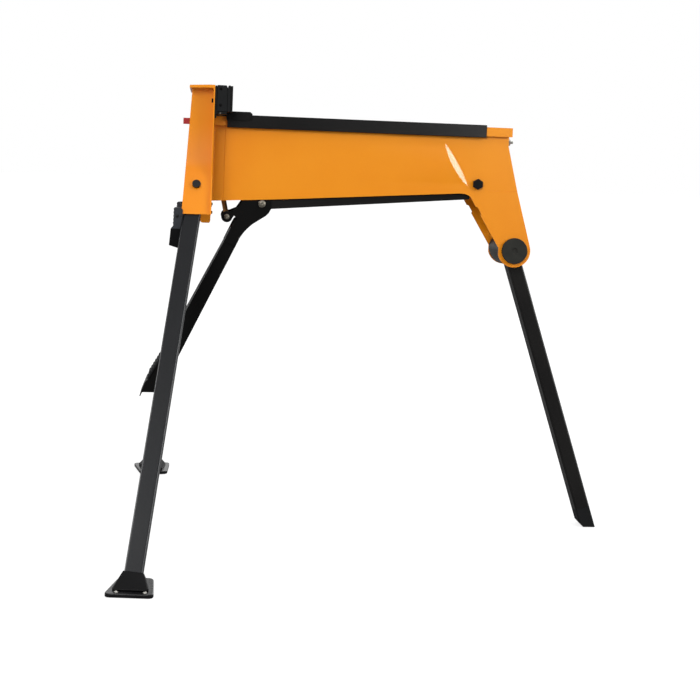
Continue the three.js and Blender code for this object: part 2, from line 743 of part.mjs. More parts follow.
place(boltY(pedalLobe, plateOut + gap, 4, 5.4, 3.5, 20), "link_bolt", steel);

// Linkage inside the front of the body: link, crank, and the pull rod with its gripping plate.
const crankPin = [pedalLobe[0] + linkVector[0], pedalLobe[1] + linkVector[1]];
const linkHalf = 8;
let link = joined([
  barY(pedalLobe, -linkHalf, linkHalf, 9),
  barY(crankPin, -linkHalf, linkHalf, 9),
  bar([pedalLobe[0], 0, pedalLobe[1]], [crankPin[0], 0, crankPin[1]], 5, 20),
]);
link = link.subtract(boreY(pedalLobe, 4)).subtract(boreY(crankPin, 4));
place(link, "pull_link", steel);
const hornTip = [crankPivot[0], crankPivot[1] + 42];
let crank = bothSides((side) => {
  const [y0, y1] = span(side, 9, 13);
  const lower = wrapped([[...crankPin, 9], [...crankPivot, 13]], y0, y1);
  return lower.add(wrapped([[...crankPivot, 13], [hornTip[0], hornTip[1] + 3, 11]], y0, y1));
});
crank = crank.add(barY(crankPivot, -13, 13, 12));
const slot = wrapped([[hornTip[0], hornTip[1] - 1, 4.8], [hornTip[0], hornTip[1] + 5, 4.8]], -20, 20);
crank = crank.subtract(slot);
crank = crank.subtract(boreY(crankPivot, 5));
crank = crank.subtract(boreY(crankPin, 4));
place(crank, "drive_crank", steel);
place(boltY(crankPivot, spineHalf - 2 - gap - 4, 5, 7, 3, 20), "crank_pivot_pin", steel);
place(boltY(crankPin, 13 + gap, 4, 6, 2, 20), "crank_link_pin", steel);
const gripX = slideRear - 60;
const rodRadius = 5;
const guideX = crankPivot[0] + 32.4;
const collarX = guideX + 80;
const rodHeight = hornTip[1];
let pullRod = bar([hornTip[0], 0, rodHeight], [gripX + 2, 0, rodHeight], rodRadius, 20);
pullRod = pullRod.add(barY(hornTip, -15, 15, 4, 20));
pullRod = pullRod.add(bar([collarX, 0, rodHeight], [collarX + 4, 0, rodHeight], 9, 20));
const gripHalf = barHalf + 14;
let grip = block(gripX, gripX + 6, -gripHalf, gripHalf, rodHeight - 13.3, slideTop - 7);
const gripPlay = 0.8;
const gripSlot = barHalf + gripPlay;
grip = grip.subtract(
  block(gripX - 5, gripX + 20, -gripSlot, gripSlot, barBottom - gripPlay, barTop + gripPlay),
);
place(pullRod.add(grip), "pull_rod", steel);

// Guide of the pull rod between the shells, and the return spring on the rod against its collar.
let guide = block(guideX, guideX + 3, -coverHalf, coverHalf, rodHeight - 14, rodHeight + 12);
guide = guide.subtract(bar([guideX - 9, 0, rodHeight], [guideX + 9, 0, rodHeight], rodRadius + gap, 20));
place(guide, "rod_guide", steel);
const wireRadius = 1.2;
const coilTurns = 8;
const coilFront = guideX + 30;
class Coil extends THREE.Curve {
  getPoint(t, target = new THREE.Vector3()) {
    const turn = t * coilTurns * 2 * Math.PI;
    const reach = rodRadius + gap + wireRadius;
    const far = collarX - gap - wireRadius - coilFront;
    return target.set(coilFront + t * far, reach * Math.cos(turn), rodHeight + reach * Math.sin(turn));
  }
}
const wire = new THREE.Shape();
wire.absarc(0, 0, wireRadius, 0, 2 * Math.PI, false);
const winding = { steps: coilTurns * 12, bevelEnabled: false, extrudePath: new Coil(), curveSegments: 6 };
place(solid(new THREE.ExtrudeGeometry(wire, winding)), "return_spring", steel);

// Lock switch: a red tab through the front panel, on a cross pin.
const switchPin = [frameTopFront + 13, switchHeight];
let lockSwitch = joined([
  block(switchPin[0] - 30, switchPin[0], -6, 6, switchHeight - 6, switchHeight + 6),
  block(switchPin[0], switchPin[0] + 24, -4, 4, switchHeight - 4, switchHeight + 4),
  barY(switchPin, -6, 6, 9),
]);
lockSwitch = lockSwitch.subtract(boreY(switchPin, 3));
place(lockSwitch, "lock_switch", red);
place(barY(switchPin, -shellInner + gap, shellInner - gap, 3, 16), "switch_pin", steel);

// Front legs, each drawn upright in its own frame and then turned into its splay and lean.
const legCentre = (side) => along(wallPoint(side), splayNormal(side), -(sheet + washerRoom + half));
function legMatrix(side) {
  const down = new THREE.Vector3(0, side * Math.sin(rad(splay)), -Math.cos(rad(splay)));
  const way = new THREE.Vector3(-Math.sin(rad(legLean)), 0, 0).addScaledVector(down, Math.cos(rad(legLean)));
  const up = way.clone().negate();
  const across = splayNormal(side).multiplyScalar(side);
  const fore = new THREE.Vector3().crossVectors(across, up);
  return new THREE.Matrix4().makeBasis(fore, across, up).setPosition(legCentre(side));
}
function turned(made, matrix) {
  const e = matrix.elements;
  return made.transform([
    [e[0], e[1], e[2], 0],
    [e[4], e[5], e[6], 0],
    [e[8], e[9], e[10], 0],
    [e[12], e[13], e[14], 1],
  ].flat());
}
// Foot plate with round corners, widest at its outer edge.
function footPlate(at) {
  const round = 11;
  const lean = (footTaper * round) / footLength;
  const wide = footWidth / 2;
  const narrow = wide - footTaper;
  const far = footLength / 2;
  const shape = new THREE.Shape();
  shape.moveTo(...at(-wide + round, far));
  shape.lineTo(...at(wide - round, far));
  shape.quadraticCurveTo(...at(wide, far), ...at(wide - lean, far - round));
  shape.lineTo(...at(narrow + lean, round - far));
  shape.quadraticCurveTo(...at(narrow, -far), ...at(narrow - round, -far));
  shape.lineTo(...at(round - narrow, -far));
  shape.quadraticCurveTo(...at(-narrow, -far), ...at(-narrow - lean, round - far));
  shape.lineTo(...at(lean - wide, far - round));
  shape.quadraticCurveTo(...at(-wide, far), ...at(-wide + round, far));
  return shape;
}
const legReach = legCentreHeight / (Math.cos(rad(splay)) * Math.cos(rad(legLean)));
const bootTop = 23; // middle of the boot's cuff above the floor
const legFoot = 10.5; // lower end of the leg tube above the floor
for (const side of [-1, 1]) {
  const name = side < 0 ? "near" : "far";
  const matrix = legMatrix(side);
  const bore = half - tubeWall;
  let tube = alongZ(rounded(half, half, tubeCorner), -legReach, 0).add(barY([0, 0], -half, half, half, 28));
  tube = tube.subtract(alongZ(rounded(bore, bore, tubeCorner - tubeWall), -legReach - 5, -half - 10));
  tube = tube.subtract(barY([0, 0], -40, 40, boltRadius + gap));
  tube = turned(tube, matrix).trimByPlane([0, 0, 1], legFoot);
  place(tube, "front_leg_" + name, graphite);
  const wall = side * (half + washerRoom + sheet);
  const bolt = joined([
    barY([0, 0], Math.min(wall, -wall) - 4, Math.max(wall, -wall) + 4, boltRadius),
    barY([0, 0], ...span(side, Math.abs(wall) + gap, Math.abs(wall) + 6), 8, 20),
    barY([0, 0], ...span(-side, half + 1.5, half + 8), 9, 6),
  ]);
  place(turned(bolt, matrix), "leg_pivot_bolt_" + name, black);
  const washer = barY([0, 0], ...span(side, half + 0.15, half + washerRoom - 0.15), 13).subtract(
    barY([0, 0], -40, 40, boltRadius + gap),
  );
  place(turned(washer, matrix), "leg_washer_" + name, steel);
  // Boot and base plate, flat on the floor.
  const foot = new THREE.Vector3(0, 0, -legReach).applyMatrix4(matrix);
  const plateMiddle = foot.y + side * footOutset;
  // Points of the foot by how far behind its middle and how far outwards they lie.
  const turn = rad(footTurn);
  const onFoot = (back, out) => [
    foot.x + back * Math.cos(turn) - out * Math.sin(turn),
    plateMiddle + side * (back * Math.sin(turn) + out * Math.cos(turn)),
  ];
  let plate = alongZ(footPlate(onFoot), 0, footThickness);
  const shift = foot.x - footWidth / 2 - plate.boundingBox().min[0];
  plate = plate.translate([shift, 0, 0]);
  const bootOut = footLength / 2 - 15;
  const bootIn = 12 - footLength / 2;
  const bootWide = footWidth / 2 - 11;
  const cuff = half + 1.6;
  const cuffHeight = bootTop / Math.cos(rad(splay)) - legReach;
  const skin = [];
  for (const a of [-1, 1]) {
    for (const b of [-1, 1]) {
      skin.push(new THREE.Vector3(a * cuff, b * cuff, cuffHeight).applyMatrix4(matrix).toArray());
    }
    for (const z of [footThickness + gap, footThickness + 3]) {
      const corners = [
        [a * (bootWide - 3), bootOut],
        [a * bootWide, bootOut - 6],
        [a * (bootWide - footTaper + 1), bootIn + 6],
        [a * (bootWide - footTaper - 5), bootIn],
      ];
      for (const [back, out] of corners) {
        const [x, y] = onFoot(back, out);
        skin.push([x + shift, y, z]);
      }
    }
  }
  let boot = hull(skin);
  const socket = half + gap;
  const legSpace = turned(block(-socket, socket, -socket, socket, -legReach - 20, 0), matrix);
  boot = boot.subtract(legSpace.trimByPlane([0, 0, 1], legFoot - gap));
  place(boot, "foot_boot_" + name, plastic);
  place(plate, "foot_plate_" + name, plastic);
  // Leg catch on the frame's lug, resting in front of the leg.
  const y = side * catchCentre;
  const at = (x, z) => [frameBottomFront + x, frameBottom + z];
  const ridges = [];
  for (let i = 0; i < 5; i += 1) {
    ridges.push(at(-14.6 - i * 0.15, 9 - i * 6.6), at(-13.8 - i * 0.15, 5.4 - i * 6.6));
  }
  let legCatch = alongY(
    [
      at(0.6, -15),
      at(0.8, -4),
      at(-2.2, -3),
      at(-3.6, 4),
      at(-7, 11),
      at(-12.4, 11),
      ...ridges,
      at(-15.4, -25),
      at(-19, -29),
      at(-21.4, -60),
      at(-4.8, -65),
      at(-0.9, -29),
    ],
    y - catchHalf,
    y + catchHalf,
  );
  // Cheek outside the frame's wall, which covers the lug and the pin's end.
  const cheek = [at(0.8, -4), at(2.6, -1), at(2.6, 8), at(-1, 11.4), at(-10, 11.4), at(-10, -8)];
  const [k0, k1] = span(side, bottomHalf + 0.7, bottomHalf + 3.5);
  legCatch = legCatch.add(alongY(cheek, k0, k1));
  // Slot that takes the frame's lug.
  const reach = lugTip + 0.6;
  const slotHalf = lugHalf + 0.6;
  legCatch = legCatch.subtract(
    block(catchPin[0] - reach, catchPin[0] + 40, y - slotHalf, y + slotHalf, catchPin[1] - reach, jawTop),
  );
  legCatch = legCatch.subtract(barY(catchPin, y - 20, y + 20, 2.5 + gap, 16));
  place(legCatch, "leg_catch_" + name, plastic);
  place(barY(catchPin, y - catchHalf - 0.6, y + catchHalf + 0.6, 2.5, 16), "catch_pin_" + name, steel);
}

// Rear leg: hub between the shells, tube and end cap, turning on the gooseneck's bolt.
const hubHalf = shellInner - 0.8;
const rearTurn = new THREE.Matrix4()
  .makeRotationY(rad(-rearLean))
  .setPosition(neckPivot[0], 0, neckPivot[1]);
const rw = rearTubeWidth / 2;
const rd = rearTubeDepth / 2;
const rearReach = neckPivot[1] / Math.cos(rad(rearLean));
const capStart = rearReach - 42;
let rearTube = alongZ(rounded(rw, rd, tubeCorner), -capStart, -12);
rearTube = rearTube.subtract(
  alongZ(rounded(rw - tubeWall, rd - tubeWall, tubeCorner - tubeWall), -capStart - 5, -16),
);
place(turned(rearTube, rearTurn), "rear_leg_tube", black);
let hub = barY([0, 0], -hubHalf, hubHalf, neckRadius - 1.5, 36);
hub = hub.subtract(block(-rw - gap, rw + gap, -rd - gap, rd + gap, -60, -12 + gap));
hub = hub.subtract(boreY([0, 0], 7));
place(turned(hub, rearTurn), "rear_leg_hub", plastic);
const heel = neckPivot[0] + rearReach * Math.sin(rad(rearLean));
let endCap = turned(alongZ(rounded(rw, rd, tubeCorner), -rearReach - 30, -capStart - gap), rearTurn);
endCap = endCap.subtract(block(heel - 100, heel + 100, -through, through, -100, 0));
endCap = endCap.subtract(
  alongY(
    [
      [heel - 60, -1],
      [heel - 9, -1],
      [heel - 26, 16],
      [heel - 60, 16],
    ],
    -through,
    through,
  ),
);
place(endCap, "rear_leg_end_cap", rubber);
place(barY(neckPivot, -shellHalf - 3, shellHalf + 3, 7), "rear_pivot_bolt", steel);
for (const side of [-1, 1]) {
  const [y0, y1] = span(side, shellHalf + gap, shellHalf + 7);
  const [c0, c1] = span(side, shellHalf, shellHalf + 3 + gap);
  const [s0, s1] = span(side, shellHalf + 5, shellHalf + 9);
  let cap = barY(neckPivot, y0, y1, neckRadius - 7.5, 36);
  cap = cap.subtract(barY(neckPivot, c0, c1, 7 + gap));
  cap = cap.subtract(barY(neckPivot, s0, s1, 6, 6));
  place(cap, side < 0 ? "rear_pivot_cap_near" : "rear_pivot_cap_far", plastic);
}

// Stand the bench over its own middle, on the floor.
const extent = new THREE.Box3().setFromObject(bench);
bench.position.set(-(extent.min.x + extent.max.x) / 2, -(extent.min.y + extent.max.y) / 2, -extent.min.z);
const part = new THREE.Group();
part.name = "folding_workbench";
part.add(bench);
part.updateMatrixWorld(true);

export default part;
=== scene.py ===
# Folding workbench with a foot clamp, dressed for a studio picture.
import bpy
import json
import math
from mathutils import Matrix, Vector


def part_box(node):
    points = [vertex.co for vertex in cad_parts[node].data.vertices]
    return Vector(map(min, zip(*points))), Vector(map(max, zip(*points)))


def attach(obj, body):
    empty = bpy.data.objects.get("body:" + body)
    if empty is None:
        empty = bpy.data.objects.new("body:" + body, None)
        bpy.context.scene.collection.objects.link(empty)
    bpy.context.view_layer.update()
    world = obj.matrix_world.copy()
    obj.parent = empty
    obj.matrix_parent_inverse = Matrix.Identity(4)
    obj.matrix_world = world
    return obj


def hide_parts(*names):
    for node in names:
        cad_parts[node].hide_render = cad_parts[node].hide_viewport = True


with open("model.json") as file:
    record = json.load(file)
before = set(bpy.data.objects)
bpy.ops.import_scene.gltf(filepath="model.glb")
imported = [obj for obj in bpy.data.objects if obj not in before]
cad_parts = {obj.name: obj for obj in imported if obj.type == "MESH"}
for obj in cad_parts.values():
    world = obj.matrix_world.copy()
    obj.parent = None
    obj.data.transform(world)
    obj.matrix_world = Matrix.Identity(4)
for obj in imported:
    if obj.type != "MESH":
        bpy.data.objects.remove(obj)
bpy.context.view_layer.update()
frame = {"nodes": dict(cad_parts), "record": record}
bodies = frame["record"]["behaviour"]["bodies"]
nodeBody = {node: body for body, names in bodies.items() for node in names}
print("frame loaded,", len(frame["nodes"]), "nodes")


# camera, worked out from the feet and the slide in the picture
cameraLook = {
    "place": (-0.33928, -2.68402, 0.75050),
    "yaw": 6.213,  # degrees to the right of straight ahead
    "pitch": 3.565,  # degrees down
    "roll": 2.243,
    "lens": 68.97,
    "sensor": 36,
    "shiftY": -0.16,
}


def aimCamera(look):
    yaw, pitch, roll = (math.radians(look[key]) for key in ("yaw", "pitch", "roll"))
    level = math.cos(pitch)
    ahead = Vector((math.sin(yaw) * level, math.cos(yaw) * level, -math.sin(pitch)))
    right = ahead.cross(Vector((0, 0, 1))).normalized()
    up = right.cross(ahead)
    tiltedRight = right * math.cos(roll) + up * math.sin(roll)
    tiltedUp = up * math.cos(roll) - right * math.sin(roll)
    bpy.ops.object.camera_add(location=look["place"])
    camera = bpy.context.object
    camera.name = "studioCamera"
    camera.rotation_euler = Matrix((tiltedRight, tiltedUp, -ahead)).transposed().to_euler()
    camera.data.sensor_width = look["sensor"]
    camera.data.lens = look["lens"]
    camera.data.shift_y = look["shiftY"]
    bpy.context.scene.camera = camera


aimCamera(cameraLook)
print("camera set")


# finishes
toneBand = (0.35, 0.65)  # noise values where a finish goes from its low to its high tone
roughBand = (0.3, 0.7)  # noise values where it goes from its low to its high roughness
bumpDepth = {"peel": 0.0004, "pit": 0.0003, "brush": 0.0002}


# picture tones from 0 to 255, as the linear colour that a shader takes
def shade(red, green, blue):
    def linear(tone):
        return ((tone / 255 + 0.055) / 1.055) ** 2.4 if tone > 10 else tone / 255 / 12.92
    return (linear(red), linear(green), linear(blue), 1.0)


def startFinish(name):
    finish = bpy.data.materials.new(name)
    finish.use_nodes = True
    nodes, links = finish.node_tree.nodes, finish.node_tree.links
    place = nodes.new("ShaderNodeTexCoord")
    return finish, nodes, links, nodes["Principled BSDF"], place.outputs["Object"]


def noiseOf(nodes, links, where, scale, detail=3.0, rough=0.5):
    noise = nodes.new("ShaderNodeTexNoise")
    noise.inputs["Scale"].default_value = scale
    noise.inputs["Detail"].default_value = detail
    noise.inputs["Roughness"].default_value = rough
    links.new(where, noise.inputs["Vector"])
    return noise.outputs["Fac"]


def toneOf(nodes, links, value, look, lift=0.0):
    ramp = nodes.new("ShaderNodeValToRGB")
    for end, start, tone in zip(ramp.color_ramp.elements, toneBand, (look["low"], look["high"])):
        end.position = start + lift
        end.color = tone
    links.new(value, ramp.inputs["Fac"])
    return ramp.outputs["Color"]


def rangeOf(nodes, links, value, low, high, band):
    spread = nodes.new("ShaderNodeMapRange")
    spread.inputs["From Min"].default_value = band[0]
    spread.inputs["From Max"].default_value = band[1]
    spread.inputs["To Min"].default_value = low
    spread.inputs["To Max"].default_value = high
    links.new(value, spread.inputs["Value"])
    return spread.outputs["Result"]


# each part is a number or another node's output
def mathOf(nodes, links, kind, *parts):
    step = nodes.new("ShaderNodeMath")
    step.operation = kind
    for socket, part in zip(step.inputs, parts):
        if isinstance(part, float):
            socket.default_value = part
        else:
            links.new(part, socket)
    return step.outputs["Value"]


def bumpOf(nodes, links, height, strength, distance):
    bump = nodes.new("ShaderNodeBump")
    bump.inputs["Strength"].default_value = strength
    bump.inputs["Distance"].default_value = distance
    links.new(height, bump.inputs["Height"])
    return bump.outputs["Normal"]


def roughOf(nodes, links, value, look):
    return rangeOf(nodes, links, value, look["roughLow"], look["roughHigh"], roughBand)


def powderCoat(name, look):
    finish, nodes, links, shader, where = startFinish(name)
    drift = noiseOf(nodes, links, where, look["driftScale"], detail=4.0)
    fleck = noiseOf(nodes, links, where, look["fleckScale"], detail=2.0, rough=0.6)
    peel = noiseOf(nodes, links, where, look["peelScale"], detail=2.0, rough=0.4)
    mixed = mathOf(nodes, links, "MULTIPLY_ADD", fleck, look["fleckShare"], drift)
    lift = 0.5 * look["fleckShare"]  # the fleck's middle value
    links.new(toneOf(nodes, links, mixed, look, lift), shader.inputs["Base Color"])
    links.new(roughOf(nodes, links, drift, look), shader.inputs["Roughness"])
    relief = bumpOf(nodes, links, peel, look["peel"], bumpDepth["peel"])
    links.new(relief, shader.inputs["Normal"])
    shader.inputs["Metallic"].default_value = 0.0
    shader.inputs["Specular IOR Level"].default_value = look["gloss"]
    shader.inputs["Coat Weight"].default_value = look["coat"]
    shader.inputs["Coat Roughness"].default_value = look["coatRough"]
    return finish


def mouldedPlastic(name, look):
    finish, nodes, links, shader, where = startFinish(name)
    drift = noiseOf(nodes, links, where, look["driftScale"])
    pits = nodes.new("ShaderNodeTexVoronoi")
    pits.inputs["Scale"].default_value = look["pitScale"]
    links.new(where, pits.inputs["Vector"])
    links.new(toneOf(nodes, links, drift, look), shader.inputs["Base Color"])
    links.new(roughOf(nodes, links, drift, look), shader.inputs["Roughness"])
    relief = bumpOf(nodes, links, pits.outputs["Distance"], look["pit"], bumpDepth["pit"])
    links.new(relief, shader.inputs["Normal"])
    shader.inputs["Specular IOR Level"].default_value = look["gloss"]
    return finish


def brightMetal(name, look):
    finish, nodes, links, shader, where = startFinish(name)
    stretch = nodes.new("ShaderNodeMapping")
    stretch.inputs["Scale"].default_value = look["stretch"]
    links.new(where, stretch.inputs["Vector"])
    along = stretch.outputs["Vector"]
    brushed = noiseOf(nodes, links, along, look["brushScale"], detail=4.0, rough=0.6)
    stain = noiseOf(nodes, links, where, look["stainScale"])
    links.new(toneOf(nodes, links, stain, look), shader.inputs["Base Color"])
    links.new(roughOf(nodes, links, brushed, look), shader.inputs["Roughness"])
    relief = bumpOf(nodes, links, brushed, look["brush"], bumpDepth["brush"])
    links.new(relief, shader.inputs["Normal"])
    shader.inputs["Metallic"].default_value = 1.0
    return finish


orangePaint = powderCoat("orangePaint", {
    "low": shade(232, 135, 8), "high": shade(239, 147, 13), "driftScale": 3.0,
    "fleckScale": 420.0, "fleckShare": 0.15, "peelScale": 260.0, "peel": 0.05,
    "roughLow": 0.30, "roughHigh": 0.38, "gloss": 0.22, "coat": 0.08, "coatRough": 0.10,
})
slideBlack = powderCoat("slideBlack", {
    "low": shade(15, 14, 14), "high": shade(20, 19, 19), "driftScale": 5.0,
    "fleckScale": 600.0, "fleckShare": 0.5, "peelScale": 500.0, "peel": 0.10,
    "roughLow": 0.28, "roughHigh": 0.36, "gloss": 0.10, "coat": 0.0, "coatRough": 0.3,
})
frameBlack = powderCoat("frameBlack", {
    "low": shade(19, 18, 18), "high": shade(24, 23, 22), "driftScale": 5.0,
    "fleckScale": 600.0, "fleckShare": 0.5, "peelScale": 500.0, "peel": 0.10,
    "roughLow": 0.40, "roughHigh": 0.50, "gloss": 0.10, "coat": 0.0, "coatRough": 0.3,
})
pedalBlack = powderCoat("pedalBlack", {
    "low": shade(10, 10, 10), "high": shade(13, 13, 13), "driftScale": 6.0,
    "fleckScale": 600.0, "fleckShare": 0.5, "peelScale": 500.0, "peel": 0.10,
    "roughLow": 0.42, "roughHigh": 0.52, "gloss": 0.06, "coat": 0.0, "coatRough": 0.3,
})
legGraphite = powderCoat("legGraphite", {
    "low": shade(17, 18, 21), "high": shade(23, 24, 27), "driftScale": 6.0,
    "fleckScale": 700.0, "fleckShare": 0.6, "peelScale": 520.0, "peel": 0.12,
    "roughLow": 0.32, "roughHigh": 0.42, "gloss": 0.17, "coat": 0.0, "coatRough": 0.3,
})
padRubber = mouldedPlastic("padRubber", {
    "low": shade(19, 20, 21), "high": shade(24, 25, 26), "driftScale": 30.0,
    "pitScale": 900.0, "pit": 0.15, "roughLow": 0.62, "roughHigh": 0.75, "gloss": 0.16,
})
bootPlastic = mouldedPlastic("bootPlastic", {
    "low": shade(10, 10, 11), "high": shade(14, 14, 15), "driftScale": 24.0,
    "pitScale": 800.0, "pit": 0.12, "roughLow": 0.26, "roughHigh": 0.36, "gloss": 0.07,
})
platePlastic = mouldedPlastic("platePlastic", {
    "low": shade(9, 9, 11), "high": shade(13, 13, 15), "driftScale": 30.0,
    "pitScale": 700.0, "pit": 0.06, "roughLow": 0.20, "roughHigh": 0.28, "gloss": 0.26,
})
capPlastic = mouldedPlastic("capPlastic", {
    "low": shade(34, 34, 31), "high": shade(42, 42, 38), "driftScale": 40.0,
    "pitScale": 520.0, "pit": 0.30, "roughLow": 0.42, "roughHigh": 0.55, "gloss": 0.22,
})
boltBlack = mouldedPlastic("boltBlack", {
    "low": shade(13, 13, 14), "high": shade(19, 19, 20), "driftScale": 60.0,
    "pitScale": 900.0, "pit": 0.08, "roughLow": 0.26, "roughHigh": 0.36, "gloss": 0.26,
})
catchGrey = mouldedPlastic("catchGrey", {
    "low": shade(36, 39, 44), "high": shade(44, 47, 53), "driftScale": 24.0,
    "pitScale": 800.0, "pit": 0.12, "roughLow": 0.40, "roughHigh": 0.50, "gloss": 0.25,
})
redPlastic = mouldedPlastic("redPlastic", {
    "low": shade(166, 16, 20), "high": shade(184, 26, 30), "driftScale": 40.0,
    "pitScale": 700.0, "pit": 0.08, "roughLow": 0.30, "roughHigh": 0.40, "gloss": 0.4,
})
zincSteel = brightMetal("zincSteel", {
    "low": shade(166, 164, 156), "high": shade(196, 194, 188), "stainScale": 60.0,
    "stretch": (1.0, 0.12, 1.0), "brushScale": 900.0, "brush": 0.10,
    "roughLow": 0.24, "roughHigh": 0.40,
})
dullSteel = brightMetal("dullSteel", {
    "low": shade(112, 108, 99), "high": shade(138, 133, 121), "stainScale": 90.0,
    "stretch": (1.0, 0.2, 1.0), "brushScale": 800.0, "brush": 0.12,
    "roughLow": 0.36, "roughHigh": 0.50,
})
yellowZinc = brightMetal("yellowZinc", {
    "low": shade(150, 104, 62), "high": shade(190, 146, 98), "stainScale": 80.0,
    "stretch": (1.0, 1.0, 0.15), "brushScale": 700.0, "brush": 0.10,
    "roughLow": 0.26, "roughHigh": 0.42,
})
print("finishes made")


# CAD pieces with their edges rounded
mergeDistance = 0.00002
flatAngle = math.radians(0.4)  # neighbours that turn less than this become one face


def pickOnly(piece):
    bpy.ops.object.select_all(action="DESELECT")
    piece.select_set(True)
    bpy.context.view_layer.objects.active = piece


def selectFaces(piece, wanted):
    bpy.ops.object.mode_set(mode="EDIT")
    bpy.ops.mesh.select_mode(type="FACE")
    bpy.ops.mesh.select_all(action="DESELECT")
    bpy.ops.object.mode_set(mode="OBJECT")
    for face in piece.data.polygons:
        face.select = wanted(face)
    bpy.ops.object.mode_set(mode="EDIT")


# rounds the edges that turn by more than so many degrees
def roundEdges(piece, width, steps, start=30):
    pickOnly(piece)
    bpy.ops.object.modifier_add(type="BEVEL")
    rounding = piece.modifiers[-1]
    rounding.width = width
    rounding.segments = steps
    rounding.limit_method = "ANGLE"
    rounding.angle_limit = math.radians(start)
    bpy.ops.object.modifier_apply(modifier=rounding.name)


# soft edges, with the large flat faces kept flat
def smoothFaces(piece, angle):
    pickOnly(piece)
    bpy.ops.object.shade_smooth_by_angle(angle=math.radians(angle))
    bpy.ops.object.modifier_add(type="WEIGHTED_NORMAL")
    piece.modifiers[-1].keep_sharp = True
    bpy.ops.object.modifier_apply(modifier=piece.modifiers[-1].name)


def plain(node, name, finish, edge=0.0006, steps=2, start=28, smooth=40, **more):
    return {"node": node, "name": name, "finish": finish, "edge": edge, "steps": steps,
            "from": start, "smooth": smooth, **more}


# optional in a look: heights to cut the mesh at, and a test for faces that keep a crisp outline
def dressNode(look):
    node = frame["nodes"][look["node"]]
    piece = bpy.data.objects.new(look["name"], node.data.copy())
    bpy.context.scene.collection.objects.link(piece)
    pickOnly(piece)
    bpy.ops.mesh.customdata_custom_splitnormals_clear()
    bpy.ops.object.mode_set(mode="EDIT")
    bpy.ops.mesh.select_all(action="SELECT")
    bpy.ops.mesh.remove_doubles(threshold=mergeDistance)
    bpy.ops.mesh.dissolve_limited(angle_limit=flatAngle)
    for height in look.get("cuts", ()):
        bpy.ops.mesh.select_all(action="SELECT")
        bpy.ops.mesh.bisect(plane_co=(0, 0, height), plane_no=(0, 0, 1))
    bpy.ops.object.mode_set(mode="OBJECT")
    if look["edge"] > 0:
        roundEdges(piece, look["edge"], look["steps"], look["from"])
    if "crisp" in look:
        selectFaces(piece, look["crisp"])
        bpy.ops.mesh.region_to_loop()
        bpy.ops.mesh.mark_sharp()
        bpy.ops.object.mode_set(mode="OBJECT")
    smoothFaces(piece, look["smooth"])
    piece.data.materials.clear()
    piece.data.materials.append(look["finish"])
    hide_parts(look["node"])
    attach(piece, nodeBody[look["node"]])
    return piece


flareHeights = (0.800, 0.700)  # the flare of the frame's walls is shaded softly between these
frontFrameLook = plain("front_frame", "frontFrame", orangePaint, edge=0.0010, steps=3, start=27,
                       cuts=flareHeights)
dressNode(frontFrameLook)
rearCoverLook = plain("rear_cover", "rearCover", orangePaint, start=10)
dressNode(rearCoverLook)

# the pressed crease is the leaning face of some size on a shell
creaseLook = {"area": 1e-5, "rearward": 0.2, "leanLeast": 0.94, "leanMost": 0.98}


def onCrease(face):
    leans = creaseLook["leanLeast"] < abs(face.normal.y) < creaseLook["leanMost"]
    return leans and face.normal.x > creaseLook["rearward"] and face.area > creaseLook["area"]


for side in ("near", "far"):
    shellLook = plain("body_shell_" + side, "bodyShell_" + side, orangePaint, edge=0.0010, steps=3,
                      start=40, crisp=onCrease)
    dressNode(shellLook)
slideLook = plain("slide_channel", "slideChannel", slideBlack, edge=0.0011, steps=3)
dressNode(slideLook)
for node, name in (("moving_jaw_plate", "movingJawPlate"), ("fixed_jaw_plate", "fixedJawPlate")):
    dressNode(plain(node, name, slideBlack))
dressNode(plain("spine_channel", "spineChannel", frameBlack))
for node, name in (("fixed_jaw_pad", "fixedJawPad"), ("moving_jaw_pad", "movingJawPad"),
                   ("rear_leg_end_cap", "rearLegEndCap")):
    dressNode(plain(node, name, padRubber, edge=0.0010, steps=3))
pedalLook = plain("pedal_lever", "pedalLever", pedalBlack, start=35)
dressNode(pedalLook)
catchSplit = 0.5985  # height where the grey grip of a leg catch ends
for side in ("near", "far"):
    dressNode(plain("front_leg_" + side, "frontLeg_" + side, legGraphite, edge=0.0))
    bootLook = plain("foot_boot_" + side, "footBoot_" + side, bootPlastic, edge=0.0025, steps=3,
                     start=12)
    dressNode(bootLook)
    dressNode(plain("foot_plate_" + side, "footPlate_" + side, platePlastic, edge=0.0014, steps=3))
    catchLook = plain("leg_catch_" + side, "legCatch_" + side, catchGrey, edge=0.0008,
                      cuts=(catchSplit,))
    legCatch = dressNode(catchLook)
    legCatch.data.materials.append(bootPlastic)
    for face in legCatch.data.polygons:
        face.material_index = 1 if face.center.z < catchSplit else 0
    capLook = plain("rear_pivot_cap_" + side, "rearPivotCap_" + side, capPlastic, edge=0.0012,
                    steps=3)
    dressNode(capLook)
    boltLook = plain("leg_pivot_bolt_" + side, "legPivotBolt_" + side, boltBlack, edge=0.0010,
                     steps=3)
    dressNode(boltLook)
    dressNode(plain("leg_washer_" + side, "legWasher_" + side, zincSteel, edge=0.0))
    dressNode(plain("catch_pin_" + side, "catchPin_" + side, boltBlack, edge=0.0004))
dressNode(plain("rear_leg_tube", "rearLegTube", frameBlack, edge=0.0))
dressNode(plain("rear_leg_hub", "rearLegHub", capPlastic, edge=0.0010))
dressNode(plain("shell_cross_bolt", "shellCrossBolt", boltBlack, edge=0.0012, steps=3))
dressNode(plain("lock_switch", "lockSwitch", redPlastic, edge=0.0012, steps=3))
for node, name in (("pedal_pivot_bolt", "pedalPivotBolt"), ("link_bolt", "linkBolt")):
    dressNode(plain(node, name, dullSteel, edge=0.0005))
